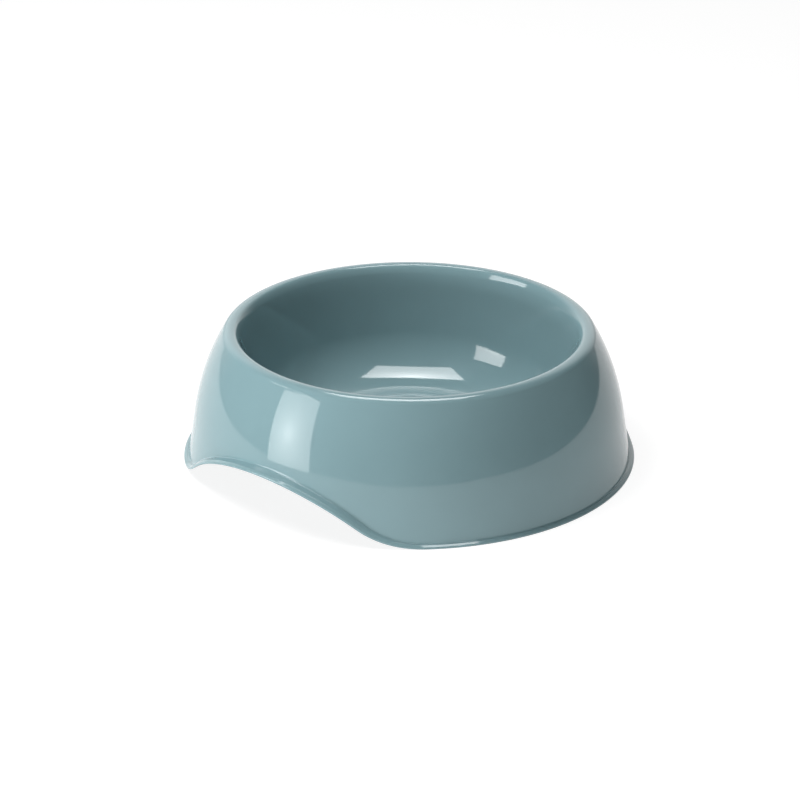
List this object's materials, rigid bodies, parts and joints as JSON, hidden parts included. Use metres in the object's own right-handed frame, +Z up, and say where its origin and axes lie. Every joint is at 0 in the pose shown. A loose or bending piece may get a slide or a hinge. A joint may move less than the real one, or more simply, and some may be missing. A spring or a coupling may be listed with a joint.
{
  "type": "pet bowl",
  "caption": "Round moulded pet food bowl with a deep dished basin, rolled rim, flared hollow skirt, and opposite lifting arches edged by a thin lip.",
  "frame": {"origin": "centre of the foot, at the level of the floor that the bowl stands on", "axes": "+Z up through the middle of the basin; +Y and -Y through the crowns of the lifting arches; +X and -X through the feet between them"},
  "size_m": [0.2, 0.2, 0.06],
  "materials": {
    "bowl": "glossy, evenly coloured grey-blue plastic"
  },
  "bodies": {
    "root": {"bowl": "bowl"}
  },
  "joints": []
}
